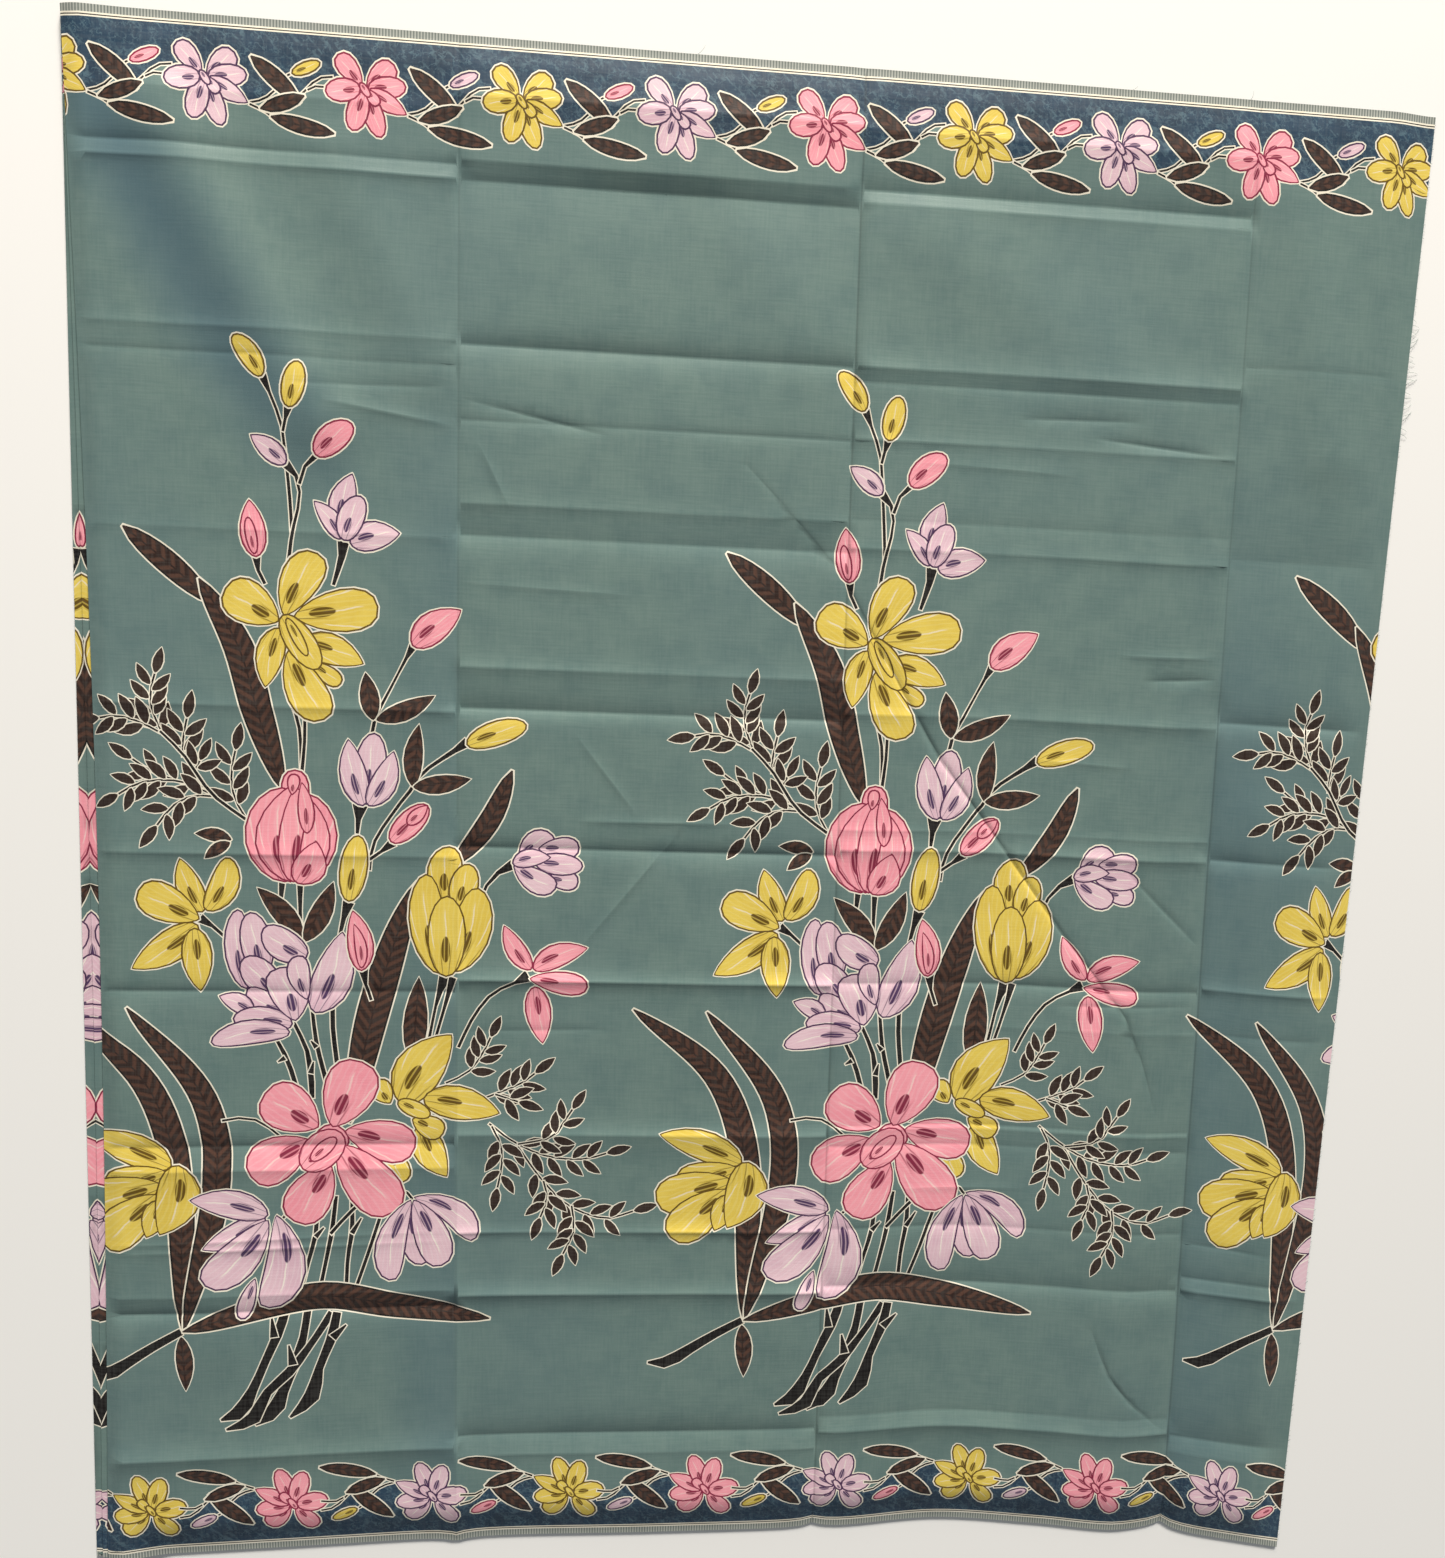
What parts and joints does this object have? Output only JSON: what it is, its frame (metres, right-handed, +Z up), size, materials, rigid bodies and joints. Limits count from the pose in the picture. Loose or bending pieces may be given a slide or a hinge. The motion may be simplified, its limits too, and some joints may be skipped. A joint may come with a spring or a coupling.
{
  "type": "folded length of batik fabric",
  "caption": "Length of waxed cotton batik with printed bouquets and floral borders, folded in half and laid flat, its packet creases pressed in.",
  "frame": {"origin": "centre of the folded cloth's box, on the surface that it lies on", "axes": "+Z up out of the printed face, +Y from the hem selvedge to the top selvedge, +X from the fold to the raw cut"},
  "size_m": [0.981, 1.1514, 0.0113],
  "materials": {
    "printed_cotton": "sage green waxed cotton with a satin sheen, printed with flowers and leaves",
    "printed_cotton_under": "the same printed cotton, a shade darker where it is folded under"
  },
  "bodies": {
    "root": {"upper_leaf": "printed_cotton", "under_layers": "printed_cotton_under"}
  },
  "joints": []
}
